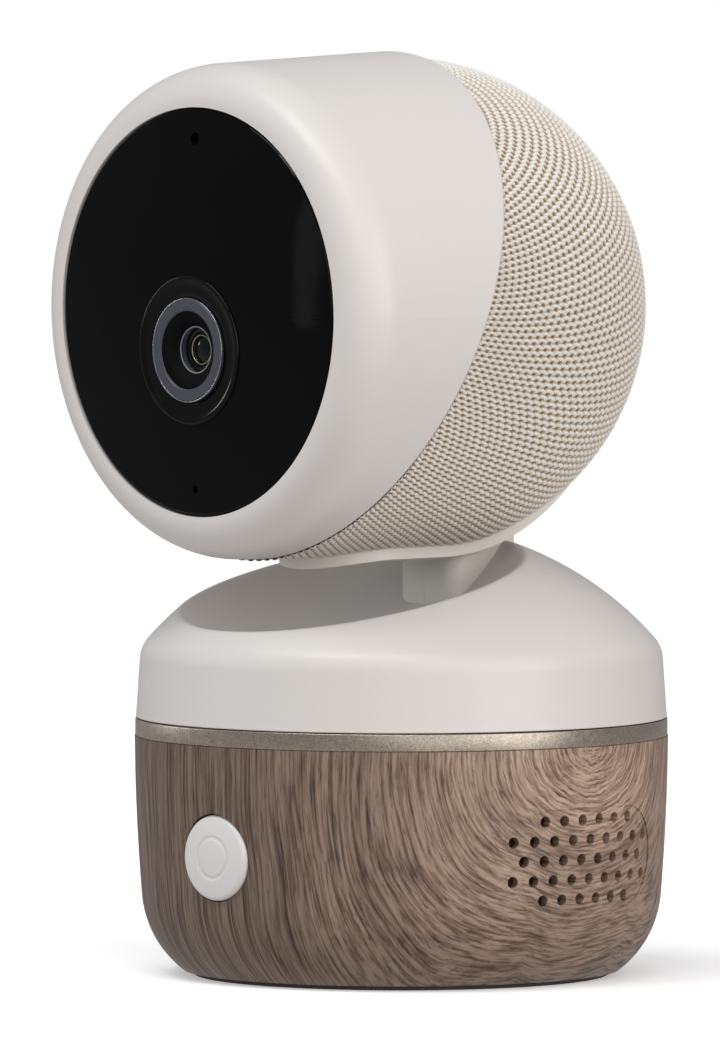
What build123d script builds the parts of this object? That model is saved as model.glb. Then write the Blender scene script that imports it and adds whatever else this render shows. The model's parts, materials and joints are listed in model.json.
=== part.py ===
from build123d import *
import math
import os

# Pan and tilt home camera. Millimetres, +Z up, origin at the centre of the base on the table.
# The button side of the base faces -Y, the speaker grille faces +X, the power inlet faces +Y.
# Everything above the base is built nose towards -Y and then turned by REST_PAN about +Z.

# ---------------------------------------------------------------- driving dimensions
REST_PAN = -3.25            # degrees that the head is turned from the base at rest
CLEAR = 0.05                # radial running clearance of shafts
WALL = 2.2                  # general wall thickness
SCREW_HOLE_R = 1.25         # clearance hole of a screw
PILOT_R = 1.15              # hole that a screw bites into

# base
BASE_TOP_R = 45.0           # outer radius at the top of the wood shell
BASE_MID_R = 44.55
BASE_LOW_R = 43.8           # where the lower rounding starts
BASE_FOOT_R = 36.8          # where the lower rounding ends
BASE_TOP_Z = 40.4
BASE_MID_Z = 25.0
BASE_LOW_Z = 13.5
BASE_FOOT_Z = 0.8
BAND_R = 44.9
BAND_IN_R = 41.2
BAND_TOP_Z = 43.35
DECK_R = 42.3
DECK_Z = 38.0
DECK_T = 2.0
PLATE_R = 35.0              # bottom plate
PLATE_Z = 1.0
FLOOR_Z = 3.0               # inner floor ledge of the shell
LEDGE_R = 31.0
FOOT_R = 34.9               # rubber foot ring
FOOT_IN_R = 31.5
FOOT_T = 1.6
LEDGE_T = 1.6

# push button
BUTTON_Z = 21.86
BUTTON_R = 7.2
BUTTON_GAP = 0.2
BUTTON_FACE_Y = -45.2
BUTTON_BACK_Y = -39.6
BOARD_BACK_Y = -32.8        # back of the button's board

# speaker grille
GRILLE_Z = 21.68
GRILLE_ROW = 3.306
GRILLE_STEP = 5.117         # degrees between holes in a row
GRILLE_ROWS = [6, 9, 8, 9, 6]
GRILLE_HOLE_R = 0.95
GRILLE_HALF_L = 17.8
GRILLE_HALF_H = 8.55

BOARD_Z = 6.4               # main board
BOARD_TOP_Z = 8.0

# power inlet
INLET_Z = 9.6
INLET_Y = 38.0
INLET_W = 13.0
INLET_H = 7.0

# drive
PAN_MODULE = 1.0
PAN_GEAR_TEETH = 36
PAN_PINION_TEETH = 12
PAN_CENTRES = PAN_MODULE * (PAN_GEAR_TEETH + PAN_PINION_TEETH) / 2
PINION_TOP_Z = 43.2          # clear of the screw heads that pass over it, whose lowest point is at 43.5
TILT_MODULE = 0.8
TILT_GEAR_TEETH = 24
TILT_PINION_TEETH = 10
TILT_CENTRES = TILT_MODULE * (TILT_GEAR_TEETH + TILT_PINION_TEETH) / 2
BACKLASH = 0.12
SPINDLE_R = 8.0
SPINDLE_BORE = 5.5
MOTOR_SHAFT_R = 1.5

# turning top cover
COVER_Z = 43.65
COVER_R = 44.787
COVER_LEAN = 3.83           # degrees by which the side leans inwards
BEND_R = 5.79               # shoulder arc, between the side and the crown
CROWN_R = 57.11
APEX_Z = 76.0
BOWL_R = 47.2               # sphere that scoops the bowl
BOWL_Y = -19.7
BOWL_Z = 102.3
TABLE_Z = 44.4              # underside of the turntable plate
TABLE_T = 2.0
TABLE_R = 42.2

# neck
NECK_HALF_X = 7.5
NECK_FRONT_Y = 5.2
NECK_REAR_Y = 20.8
NECK_CORNER = 3.4
KNUCKLE_R = 7.5
AXLE_R = 2.5
NECK_FEET = [(-13.0, 17.5), (13.0, 17.5), (0.0, 25.5)]      # screws through the turntable plate
CHANNEL_Y = 12.0            # wiring channel in the neck

# head, measured along the nose axis from the tilt pivot
PIVOT_Y = -0.943
PIVOT_Z = 112.83
FABRIC_R = 41.82
FABRIC_T = 0.92
SHELL_R = 40.85
SHELL_IN_R = 38.8
HOUSING_R0 = 42.93          # cone radius at the pivot plane
HOUSING_R1 = 41.45          # cone radius where the front rounding starts
ROUND_S = 37.0
FACE_S = 45.0
FACE_R = 35.0
HOUSING_IN_R = 39.8
PARTING_S = 17.5            # slanted parting plane: s = PARTING_S - PARTING_SLOPE * height
PARTING_SLOPE = 0.385
HOUSING_DECK_S = 38.0
WINDOW_R = 34.04
WINDOW_S = 44.9
WINDOW_DOME = 2.0
LENS_H = -6.25              # height of the lens axis from the nose axis
SENSOR_H = 28.9
MIC_H = -29.5
TRIM_HALF = 12.0
TRIM_R = 43.6
TRIM_TIP_S = 22.6
TRIM_REAR_DEG = 62.2        # centre of the rear end, behind straight down
SLOT_HALF = 9.8

STANDING_ALIGN = (Align.CENTER, Align.CENTER, Align.MIN)
PAN_TURN = Rot(0, 0, REST_PAN)
NOSE = Plane(origin=(0, PIVOT_Y, PIVOT_Z), x_dir=(1, 0, 0), z_dir=(0, -1, 0)).location

standing = {}               # nodes of the base, by name
turning = {}                # nodes above the base, by name, nose towards -Y


# ---------------------------------------------------------------- helpers
def ring(r_out, r_in, z0, z1):
    """Upright ring, or a disc when r_in is 0."""
    body = Pos(0, 0, z0) * Cylinder(r_out, z1 - z0, align=STANDING_ALIGN)
    if r_in > 0:
        body -= Pos(0, 0, z0 - 1) * Cylinder(r_in, z1 - z0 + 2, align=STANDING_ALIGN)
    return body


def block(x0, x1, y0, y1, z0, z1):
    return Pos((x0 + x1) / 2, (y0 + y1) / 2, (z0 + z1) / 2) * Box(x1 - x0, y1 - y0, z1 - z0)


def rod(p, q, r):
    """Cylinder of radius r from point p to point q."""
    start, end = Vector(*p), Vector(*q)
    place = Plane(origin=start, z_dir=end - start)
    return place.location * Cylinder(r, (end - start).length, align=STANDING_ALIGN)


def turned(points):
    """Solid of revolution about Z from (radius, height) corners."""
    outline = Polyline(*[(r, 0, z) for r, z in points], close=True)
    return revolve(make_face(outline), Axis.Z)


def group(shapes):
    """Separate solids kept together in one node."""
    return Compound([solid for shape in shapes for solid in shape.solids()])


def cap_arc(radius, edge_z, top_z):
    """Arc of a spherical cap, from its edge to its top on the axis."""
    rise = top_z - edge_z
    ball = (radius ** 2 + rise ** 2) / (2 * rise)
    half = math.asin(radius / ball) / 2
    middle = (ball * math.sin(half), 0, top_z - ball + ball * math.cos(half))
    return ThreePointArc((radius, 0, edge_z), middle, (0, 0, top_z))


def polar(radius, angles):
    """Points on a circle in XY, at angles in degrees."""
    return [(radius * math.cos(math.radians(a)), radius * math.sin(math.radians(a))) for a in angles]


def screw(length, shank_r=1.1, head_r=2.1, head_t=1.5):
    """Pan-head screw: head above z = 0 with a cross recess, shank below."""
    body = ring(head_r, 0, 0, head_t) + ring(shank_r, 0, -length, 0)
    for angle in (0, 90):
        body -= Rot(0, 0, angle) * block(-head_r * 0.6, head_r * 0.6, -0.25, 0.25, head_t - 0.7, head_t + 1)
    return body


def spur_gear(teeth, module, z0, z1, bore, addendum, first_tooth):
    """Involute spur gear about Z with one tooth centred on the angle first_tooth, in degrees."""
    pressure = math.radians(20)
    pitch_r = module * teeth / 2
    base_r = pitch_r * math.cos(pressure)
    tip_r = pitch_r + addendum * module
    root_r = pitch_r - 1.15 * addendum * module - 0.15
    involute = math.tan(pressure) - pressure
    half = math.pi / (2 * teeth) - BACKLASH / (4 * pitch_r)
    start_r = max(base_r, root_r)
    flank = []
    for i in range(5):
        r = start_r + (tip_r - start_r) * i / 4
        roll = math.acos(base_r / r)
        flank.append((r, half + involute - (math.tan(roll) - roll)))
    if root_r < base_r:
        flank.insert(0, (root_r, flank[0][1]))
    outline = []
    for k in range(teeth):
        centre = math.radians(first_tooth) + 2 * math.pi * k / teeth
        outline += [(r * math.cos(centre - a), r * math.sin(centre - a)) for r, a in flank]
        outline += [(r * math.cos(centre + a), r * math.sin(centre + a)) for r, a in reversed(flank)]
    gear = extrude(make_face(Polyline(*outline, close=True)), z1 - z0)
    return Pos(0, 0, z0) * gear - ring(bore, 0, z0 - 1, z1 + 1)


def rounded_slab(width, height, corner, depth):
    """Rounded rectangle in XY, extruded along +Z."""
    return extrude(RectangleRounded(width, height, corner), depth)


def facing_x(y, z, x):
    """Local frame whose +Z points along +X, with local X along +Y and local Y up."""
    return Plane(origin=(x, y, z), x_dir=(0, 1, 0), z_dir=(1, 0, 0)).location


def facing_rear(x, z, y):
    """Local frame whose +Z points along +Y, with local Y up."""
    return Plane(origin=(x, y, z), x_dir=(-1, 0, 0), z_dir=(0, 1, 0)).location


# ---------------------------------------------------------------- screw places
PLATE_SCREWS = polar(33.2, (60, 180, 300))              # bottom plate to shell
BOARD_SCREWS = polar(24, (90, 210, 330))                # main board to bottom plate
DECK_SCREWS = polar(39.6, (45, 135, 225, 315))          # deck to shell
COVER_SCREWS = polar(36.5, (20, 160, 200, 340))         # turntable plate to cover
CHASSIS_SCREWS = polar(33.5, (45, 135, 225, 315))       # head chassis to front housing
CAMERA_SCREWS = [(x, y) for x in (-12, 12) for y in (-12, 12)]  # camera board to head chassis


# ---------------------------------------------------------------- base
def outer_base_solid(inset=0.0):
    """Outside of the base as a solid, moved inwards by inset."""
    top = (BASE_TOP_R - inset, 0, BASE_TOP_Z)
    middle = (BASE_MID_R - inset, 0, BASE_MID_Z)
    low = (BASE_LOW_R - inset, 0, BASE_LOW_Z)
    foot = (BASE_FOOT_R - inset * 0.45, 0, BASE_FOOT_Z + inset * 0.9)
    side = ThreePointArc(top, middle, low)
    tuck = TangentArc([low, foot], tangent=side % 1)
    close = Polyline(foot, (0, 0, foot[2]), (0, 0, BASE_TOP_Z), top)
    return revolve(make_face([side, tuck, close]), Axis.Z)


def grille_holes():
    rods = []
    for row, count in enumerate(GRILLE_ROWS):
        z = GRILLE_Z + GRILLE_ROW * (2 - row)
        for k in range(count):
            angle = math.radians((k - (count - 1) / 2) * GRILLE_STEP)
            near = (30 * math.cos(angle), 30 * math.sin(angle), z)
            far = (50 * math.cos(angle), 50 * math.sin(angle), z)
            rods.append(rod(near, far, GRILLE_HOLE_R))
    return rods


def stadium(half_length, half_height, depth):
    """Stadium outline with its long side along local X, extruded along +Z."""
    return extrude(SlotOverall(2 * half_length, 2 * half_height), depth)


def build_base_shell():
    hollow = outer_base_solid(WALL) & ring(60, 0, FLOOR_Z + LEDGE_T, 60)
    shell = outer_base_solid() - hollow
    shell -= ring(PLATE_R + 0.05, 0, -1, FLOOR_Z)
    shell -= ring(LEDGE_R, 0, -1, 10)
    for x, y in PLATE_SCREWS:
        shell += Pos(x, y, 0) * ring(2.6, PILOT_R, FLOOR_Z, 9.0)
        shell -= Pos(x, y, 0) * ring(PILOT_R, 0, 0, 8.0)
    # deck posts, speaker posts
    for x, y in DECK_SCREWS:
        post = Pos(x, y, 0) * ring(3.0, PILOT_R, 24.0, DECK_Z)
        shell += post & outer_base_solid(1.0)
    for y in (-22.5, 22.5):
        post = rod((30.6, y, GRILLE_Z), (40, y, GRILLE_Z), 2.4)
        post -= rod((30, y, GRILLE_Z), (36, y, GRILLE_Z), PILOT_R)
        shell += post & outer_base_solid(1.0)
    # grille, its shallow stadium step, button hole, inlet recess
    step = facing_x(0, GRILLE_Z, 30) * stadium(GRILLE_HALF_L, GRILLE_HALF_H, 30)
    shell -= step - outer_base_solid(0.25)
    for hole in grille_holes():
        shell -= hole
    shell -= rod((0, -38, BUTTON_Z), (0, -50, BUTTON_Z), BUTTON_R + BUTTON_GAP)
    shell -= facing_rear(0, INLET_Z, INLET_Y) * rounded_slab(INLET_W, INLET_H, 1.5, 12)
    return shell


def build_base():
    standing["base_shell"] = build_base_shell()
    plate = ring(PLATE_R, 0, PLATE_Z, FLOOR_Z)
    for x, y in PLATE_SCREWS:
        plate -= Pos(x, y, 0) * ring(SCREW_HOLE_R, 0, 0, 5)
    for x, y in BOARD_SCREWS:
        plate += Pos(x, y, 0) * ring(3.0, PILOT_R, FLOOR_Z, BOARD_Z)
    plate -= ring(FOOT_R, FOOT_IN_R, 0, FOOT_T)
    plate -= ring(23, 0, 0, 1.3)
    standing["bottom_plate"] = plate
    foot = ring(FOOT_R, FOOT_IN_R, 0, FOOT_T)
    for x, y in PLATE_SCREWS:
        foot -= Pos(x, y, 0) * ring(SCREW_HOLE_R, 0, -1, 3)
    standing["foot_ring"] = foot
    standing["bottom_screws"] = group(
        [Pos(x, y, 1.6) * ring(1.1, 0, 0, 6.0) + Pos(x, y, 0.5) * ring(1.2, 0, 0, 1.1)
         for x, y in PLATE_SCREWS])
    band = ring(BAND_R, BAND_IN_R, BASE_TOP_Z, BAND_TOP_Z)
    band = fillet(band.edges().filter_by(GeomType.CIRCLE).sort_by(lambda e: -e.radius)[:2], 0.35)
    standing["accent_band"] = band
    deck = ring(DECK_R, 0, DECK_Z, BASE_TOP_Z) - ring(BAND_IN_R, 0, DECK_Z + DECK_T, 50)
    deck += ring(11.0, 0, 33.0, DECK_Z)
    deck -= ring(SPINDLE_R + CLEAR, 0, 30, 50)
    deck -= Pos(-PAN_CENTRES, 0, 0) * ring(4.0, 0, 30, 50)
    for x, y in DECK_SCREWS:
        deck -= Pos(x, y, 0) * ring(SCREW_HOLE_R, 0, 30, 50)
    standing["base_deck"] = deck
    standing["deck_screws"] = group(
        [Pos(x, y, DECK_Z + DECK_T) * screw(8.0, head_r=1.5, head_t=1.2)
         for x, y in DECK_SCREWS])


def build_electronics():
    board = ring(29.8, 0, BOARD_Z, BOARD_TOP_Z) + block(-9, 9, 20, 36.0, BOARD_Z, BOARD_TOP_Z)
    for x, y in BOARD_SCREWS:
        board -= Pos(x, y, 0) * ring(1.3, 0, 5, 9)
    standing["main_board"] = board
    chips = [block(-9, 5, -9, 5, BOARD_TOP_Z, 9.4), block(9, 17, -14, -6, BOARD_TOP_Z, 9.2),
             block(8, 13, 4, 12, BOARD_TOP_Z, 9.6),
             block(-21, -13, -3, 5, BOARD_TOP_Z, 10.2), block(-14, -9, 8, 13, BOARD_TOP_Z, 9.0)]
    chips += [Pos(x, y, BOARD_TOP_Z) * ring(2.5, 0, 0, 6.0) for x, y in polar(17.5, (120, 147))]
    standing["main_chips"] = group(chips)
    standing["board_screws"] = group(
        [Pos(x, y, BOARD_TOP_Z) * screw(4.6, head_t=1.3) for x, y in BOARD_SCREWS])
    port = facing_rear(0, INLET_Z, 29.4) * rounded_slab(8.94, 3.2, 1.5, INLET_Y - 29.4)
    port -= facing_rear(0, INLET_Z, 30.4) * rounded_slab(8.3, 2.56, 1.2, 12)
    tongue = block(-3.3, 3.3, 30.4, 36.8, INLET_Z - 0.35, INLET_Z + 0.35)
    standing["usb_c_port"] = port + tongue
    frame = block(-7.0, 7.0, 36.2, INLET_Y, INLET_Z - 3.1, INLET_Z + 3.6)
    frame -= facing_rear(0, INLET_Z, 30) * rounded_slab(8.98, 3.24, 1.5, 12)
    standing["inlet_frame"] = frame - standing["base_shell"] - board
    standing["button_board"] = block(-9, 9, -34.4, BOARD_BACK_Y, BUTTON_Z - 9, BUTTON_Z + 9)
    housing = block(-3, 3, -36.4, -34.4, BUTTON_Z - 3, BUTTON_Z + 3)
    standing["tact_switch"] = housing - rod((0, -37, BUTTON_Z), (0, -34.8, BUTTON_Z), 1.75 + CLEAR)
    standing["button_holder"] = build_button_holder()


def build_button_holder():
    """Bracket that holds the button board off the inside of the shell."""
    arms = []
    for x in (-10.6, 10.6):
        arm = block(x - 1.6, x + 1.6, -42.5, -31.0, BUTTON_Z - 9, BUTTON_Z + 9)
        arms.append(arm & outer_base_solid(WALL + 0.02))
    tie = block(-12.2, 12.2, BOARD_BACK_Y, -31.0, BUTTON_Z - 9, BUTTON_Z + 9)
    return tie + arms[0] + arms[1]


def build_button():
    rim = 0.9
    dome_rise = 0.5
    length = BUTTON_BACK_Y - BUTTON_FACE_Y
    corner = length - dome_rise - rim
    outline = Polyline((0, 0, 0), (BUTTON_R, 0, 0), (BUTTON_R, 0, corner))
    turn = ThreePointArc((BUTTON_R, 0, corner), (BUTTON_R - 0.29 * rim, 0, corner + 0.71 * rim),
                         (BUTTON_R - rim, 0, corner + rim))
    crown = cap_arc(BUTTON_R - rim, corner + rim, length)
    cap = revolve(make_face([outline, turn, crown, Line((0, 0, length), (0, 0, 0))]), Axis.Z)
    cap += ring(BUTTON_R + 1.1, 0, -0.9, 0)
    facing_front = Plane(origin=(0, BUTTON_BACK_Y, BUTTON_Z), x_dir=(1, 0, 0), z_dir=(0, -1, 0)).location
    standing["button_cap"] = facing_front * cap
    standing["switch_plunger"] = rod((0, -35.8, BUTTON_Z), (0, BUTTON_BACK_Y + 0.9, BUTTON_Z), 1.75)


def build_speaker():
    outline = facing_x(0, GRILLE_Z, 30) * stadium(GRILLE_HALF_L - 0.3, GRILLE_HALF_H, 20)
    standing["speaker_mesh"] = (ring(41.0, 40.6, 5, 38) & outline)
    gasket = stadium(18.4, 9.0, 1.4) - stadium(16.0, 6.8, 1.4)
    standing["speaker_gasket"] = facing_x(0, GRILLE_Z, 35.0) * gasket
    frame = stadium(18.4, 9.0, 5.0) - Pos(0, 0, 1.2) * stadium(16.4, 7.2, 4)
    frame -= ring(4.2, 0, -1, 2)
    for side in (-1, 1):
        ear = extrude(Rectangle(8.0, 5.6), 0.6) - Pos(side * 1.5, 0, 0) * ring(SCREW_HOLE_R, 0, -1, 2)
        ear = Pos(side * 21.0, 0, 0) * ear
        frame += ear
    standing["speaker_frame"] = facing_x(0, GRILLE_Z, 30.0) * frame
    cone = stadium(16.2, 7.0, 0.5) + turned([(0, -2.3), (3.6, -2.3), (3.6, -1.0), (6.0, 0), (0, 0)])
    standing["speaker_cone"] = facing_x(0, GRILLE_Z, 33.6) * cone
    standing["speaker_magnet"] = facing_x(0, GRILLE_Z, 24.5) * ring(7.5, 0, 0, 5.5)
    standing["speaker_screws"] = group(
        [Plane(origin=(30.0, y, GRILLE_Z), z_dir=(-1, 0, 0)).location * screw(4.5) for y in (-22.5, 22.5)])


def build_pan_motor():
    motor = Pos(-PAN_CENTRES, 8.0, 0) * ring(12.0, 0, 19.0, DECK_Z)
    ears = Pos(-PAN_CENTRES, 8.0, 0) * block(-17.5, 17.5, -3.5, 3.5, DECK_Z - 1, DECK_Z)
    motor = (motor + ears) & outer_base_solid(3)
    motor -= Pos(-PAN_CENTRES, 0, 0) * ring(MOTOR_SHAFT_R + CLEAR, 0, DECK_Z - 8, DECK_Z + 1)
    motor -= ring(11.2, 0, 30, 40)
    standing["pan_motor"] = motor
    pinion = spur_gear(PAN_PINION_TEETH, PAN_MODULE, 40.6, PINION_TOP_Z, 1.0, 0.75, 180 / PAN_PINION_TEETH)
    pinion += ring(MOTOR_SHAFT_R, 0, DECK_Z - 7, PINION_TOP_Z)
    standing["pan_pinion"] = Pos(-PAN_CENTRES, 0, 0) * pinion


# ---------------------------------------------------------------- turntable, cover and neck
def dome_solid(inset):
    """Outside of the cover as a solid, moved inwards by inset. Side, shoulder and crown meet smoothly."""
    outward = Vector(1, 0).rotate(Axis.Z, COVER_LEAN)
    upward = Vector(0, 1).rotate(Axis.Z, COVER_LEAN)
    crown_centre = Vector(0, APEX_Z - CROWN_R)
    # the shoulder's centre is BEND_R in from the side, and CROWN_R - BEND_R from the crown's centre
    start = Vector(COVER_R, COVER_Z) - outward * BEND_R
    lead = start - crown_centre
    along = lead.dot(upward)
    climb = math.sqrt(along**2 - lead.dot(lead) + (CROWN_R - BEND_R) ** 2) - along
    bend_centre = start + upward * climb
    crownward = (bend_centre - crown_centre).normalized()
    foot = (COVER_R - inset, COVER_Z)
    side_top = bend_centre + outward * (BEND_R - inset)
    middle = bend_centre + (outward + crownward).normalized() * (BEND_R - inset)
    crown_edge = crown_centre + crownward * (CROWN_R - inset)
    side = Line((foot[0], 0, foot[1]), (side_top.X, 0, side_top.Y))
    bend = ThreePointArc((side_top.X, 0, side_top.Y), (middle.X, 0, middle.Y),
                         (crown_edge.X, 0, crown_edge.Y))
    crown = cap_arc(crown_edge.X, crown_edge.Y, APEX_Z - inset)
    close = Polyline((0, 0, APEX_Z - inset), (0, 0, COVER_Z), (foot[0], 0, foot[1]))
    return revolve(make_face([side, bend, crown, close]), Axis.Z)


def neck_section(grow=0.0):
    """Plan outline of the neck, as a sketch in XY."""
    width = 2 * (NECK_HALF_X + grow)
    depth = NECK_REAR_Y - NECK_FRONT_Y + 2 * grow
    return Pos(0, (NECK_FRONT_Y + NECK_REAR_Y) / 2) * RectangleRounded(width, depth, NECK_CORNER + grow)


def build_cover():
    solid = dome_solid(0) - Pos(0, BOWL_Y, BOWL_Z) * Sphere(BOWL_R)
    hollow = dome_solid(WALL) - Pos(0, BOWL_Y, BOWL_Z) * Sphere(BOWL_R + WALL)
    hollow += ring(COVER_R - WALL, 0, COVER_Z - 1, COVER_Z + 0.5)
    cover = solid - hollow
    cover -= Pos(0, 0, 40) * extrude(neck_section(0.05), 60)
    for x, y in COVER_SCREWS:
        boss = Pos(x, y, 0) * ring(3.2, 0, TABLE_Z + TABLE_T, 62)
        boss = boss & dome_solid(1.0)
        boss -= Pos(0, BOWL_Y, BOWL_Z) * Sphere(BOWL_R + 1)
        cover += boss
        cover -= Pos(x, y, 0) * ring(PILOT_R, 0, 40, TABLE_Z + TABLE_T + 7)
    turning["top_cover"] = cover
    plate = ring(TABLE_R, 0, TABLE_Z, TABLE_Z + TABLE_T) - ring(SPINDLE_R, 0, 40, 50)
    for x, y in COVER_SCREWS:
        plate -= Pos(x, y, 0) * ring(SCREW_HOLE_R, 0, 40, 50)
    for x, y in NECK_FEET:
        plate -= Pos(x, y, 0) * ring(SCREW_HOLE_R, 0, 40, 50)
    turning["turntable_plate"] = plate
    places = COVER_SCREWS + NECK_FEET
    turning["turntable_screws"] = group(
        [Pos(x, y, TABLE_Z) * Rot(180, 0, 0) * screw(4.6, head_r=1.9, head_t=0.9) for x, y in places])


def build_turntable_drive():
    spindle = ring(SPINDLE_R, SPINDLE_BORE, 31.0, TABLE_Z + TABLE_T)
    spindle -= ring(SPINDLE_R + 1, 7.2, 31.9, 32.9)
    turning["spindle"] = spindle
    turning["retaining_ring"] = ring(10.8, 7.2, 32.0, 32.8) - block(-2.5, 2.5, -12, 0, 31, 34)
    # the tooth that faces the pinion is turned back, so that it meets the pinion's gap at rest
    turning["pan_gear"] = spur_gear(PAN_GEAR_TEETH, PAN_MODULE, 41.0, TABLE_Z, SPINDLE_R, 0.75,
                                    180 - REST_PAN)


def knuckle_profile(inset=0.0):
    """Side outline of the neck's top, in the plane of local X = Y axis and local Y = Z axis."""
    hub = Pos(PIVOT_Y, PIVOT_Z) * Circle(KNUCKLE_R - inset)
    shoulder = Pos(13.0, 103.0) * Circle(7.8 - inset)
    return make_hull(hub.edges() + shoulder.edges())


def build_neck():
    side_view = Plane(origin=(0, 0, 0), x_dir=(0, 1, 0), z_dir=(1, 0, 0)).location
    stem = Pos(0, 0, TABLE_Z + TABLE_T) * extrude(neck_section(), 103.0 - TABLE_Z - TABLE_T)
    knuckle = side_view * Pos(0, 0, -NECK_HALF_X) * extrude(knuckle_profile(), 2 * NECK_HALF_X)
    neck = stem + knuckle
    for x0, x1, y0, y1 in ((-16.0, 16.0, 14.4, 20.6), (-3.2, 3.2, 20.0, 28.6)):
        neck += block(x0, x1, y0, y1, TABLE_Z + TABLE_T, TABLE_Z + TABLE_T + 3)
    wall = 2.0
    channel = extrude(Pos(0, CHANNEL_Y) * RectangleRounded(9.0, 8.4, 1.5), 58)
    neck -= Pos(0, 0, TABLE_Z) * channel
    neck -= block(-4.5, 4.5, 0, CHANNEL_Y, TABLE_Z, 60.5)
    half = NECK_HALF_X - wall
    hollow = side_view * Pos(0, 0, -half) * extrude(knuckle_profile(wall), 2 * half)
    hollow -= Pos(0, PIVOT_Y, PIVOT_Z) * Rot(0, 90, 0) * Cylinder(5.0, 40)
    neck -= hollow & block(-30, 30, -2, 30, 95, 130)
    neck -= Pos(0, PIVOT_Y, PIVOT_Z) * Rot(0, 90, 0) * Cylinder(AXLE_R, 40)
    for x, y in NECK_FEET:
        neck -= Pos(x, y, 0) * ring(PILOT_R, 0, 40, 60)
    holes = ((18.3, 98.0), (6.8, 101.0), (18.3, 57.0))
    for y, z in holes:
        neck += rod((-NECK_HALF_X + 1, y, z), (NECK_HALF_X - 1, y, z), 2.0)
    for y, z in holes:
        neck -= rod((-NECK_HALF_X - 1, y, z), (NECK_HALF_X - 2, y, z), 0.95)
        neck -= rod((-NECK_HALF_X - 1, y, z), (-NECK_HALF_X + 1.6, y, z), 1.7)
    neck -= block(-0.02, 0.02, -30, 40, 30, 140)
    turning["neck_left"] = neck & block(-30, -0.02, -30, 40, 30, 140)
    turning["neck_right"] = neck & block(0.02, 30, -30, 40, 30, 140)
    turning["neck_screws"] = group(
        [Plane(origin=(-NECK_HALF_X + 1.6, y, z), z_dir=(-1, 0, 0)).location * screw(7.0, 0.9, 1.6, 1.2)
         for y, z in holes])
    turning["tilt_axle"] = rod((-12.5, PIVOT_Y, PIVOT_Z), (15.0, PIVOT_Y, PIVOT_Z), AXLE_R)
    route = FilletPolyline((0, 0, 28), (0, 0, 49), (0, CHANNEL_Y, 61), (0, CHANNEL_Y, 100), radius=8)
    start = Plane(origin=(0, 0, 28), z_dir=(0, 0, 1))
    turning["harness"] = sweep(start * Circle(2.0), path=route)


# ---------------------------------------------------------------- head
def nose_body(radius, front_s):
    """Rear ball and forward cylinder about the nose axis, in the nose frame."""
    return Sphere(radius) + ring(radius, 0, 0, front_s)


def nose_half(front, gap=0.0):
    """Tool block on the front or the rear side of the slanted parting plane."""
    length = math.hypot(1, PARTING_SLOPE)
    plane = Plane(origin=(0, 0, PARTING_S + gap), x_dir=(1, 0, 0),
                  z_dir=(0, PARTING_SLOPE / length, 1 / length))
    align = (Align.CENTER, Align.CENTER, Align.MIN if front else Align.MAX)
    return plane.location * Box(200, 200, 100, align=align)


def slot_solid(half):
    """Tool through the wall along the neck slot, in the nose frame (local Y is up)."""
    rear = math.radians(TRIM_REAR_DEG)
    centre_s = TRIM_TIP_S - TRIM_HALF
    front = rod((0, -10, centre_s), (0, -60, centre_s), half)
    straight = block(-half, half, -60, -10, 0, centre_s)
    reach = 60.0
    wedge = Polyline((0, 0), (0, -reach), (-reach * math.tan(rear / 2), -reach),
                     (-reach * math.sin(rear), -reach * math.cos(rear)), close=True)
    side_view = Plane(origin=(half, 0, 0), x_dir=(0, 0, 1), z_dir=(-1, 0, 0)).location
    sector = side_view * extrude(make_face(wedge), 2 * half)
    back = rod((0, -10 * math.cos(rear), -10 * math.sin(rear)),
               (0, -60 * math.cos(rear), -60 * math.sin(rear)), half)
    return front + straight + sector + back


def build_housing():
    corner = Line((HOUSING_R0, 0, 0), (HOUSING_R1, 0, ROUND_S))
    rounding = Plane.XZ.location * EllipticalCenterArc((FACE_R, ROUND_S), HOUSING_R1 - FACE_R,
                                                       FACE_S - ROUND_S, start_angle=0, arc_size=90)
    pocket_r = WINDOW_R + 0.1
    inside = Polyline((FACE_R, 0, FACE_S), (pocket_r, 0, FACE_S), (pocket_r, 0, HOUSING_DECK_S + 2),
                      (30, 0, HOUSING_DECK_S + 2), (30, 0, HOUSING_DECK_S),
                      (HOUSING_IN_R - 0.4, 0, HOUSING_DECK_S), (HOUSING_IN_R + 0.6, 0, 0),
                      (HOUSING_R0, 0, 0))
    housing = revolve(make_face([corner, rounding, inside]), Axis.Z)
    housing &= nose_half(True)
    outer_edge = [e for e in housing.edges() if e.length > 200 and e.bounding_box().size.Z > 20]
    outer_edge = sorted(outer_edge, key=lambda e: -e.length)[:1]
    housing = fillet(outer_edge, 0.5)
    for x, y in CHASSIS_SCREWS:
        housing += Pos(x, y, 0) * ring(2.8, 0, 20, HOUSING_DECK_S)
        housing -= Pos(x, y, 0) * ring(PILOT_R, 0, 19, 30)
    turning["front_housing"] = NOSE * housing


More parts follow.
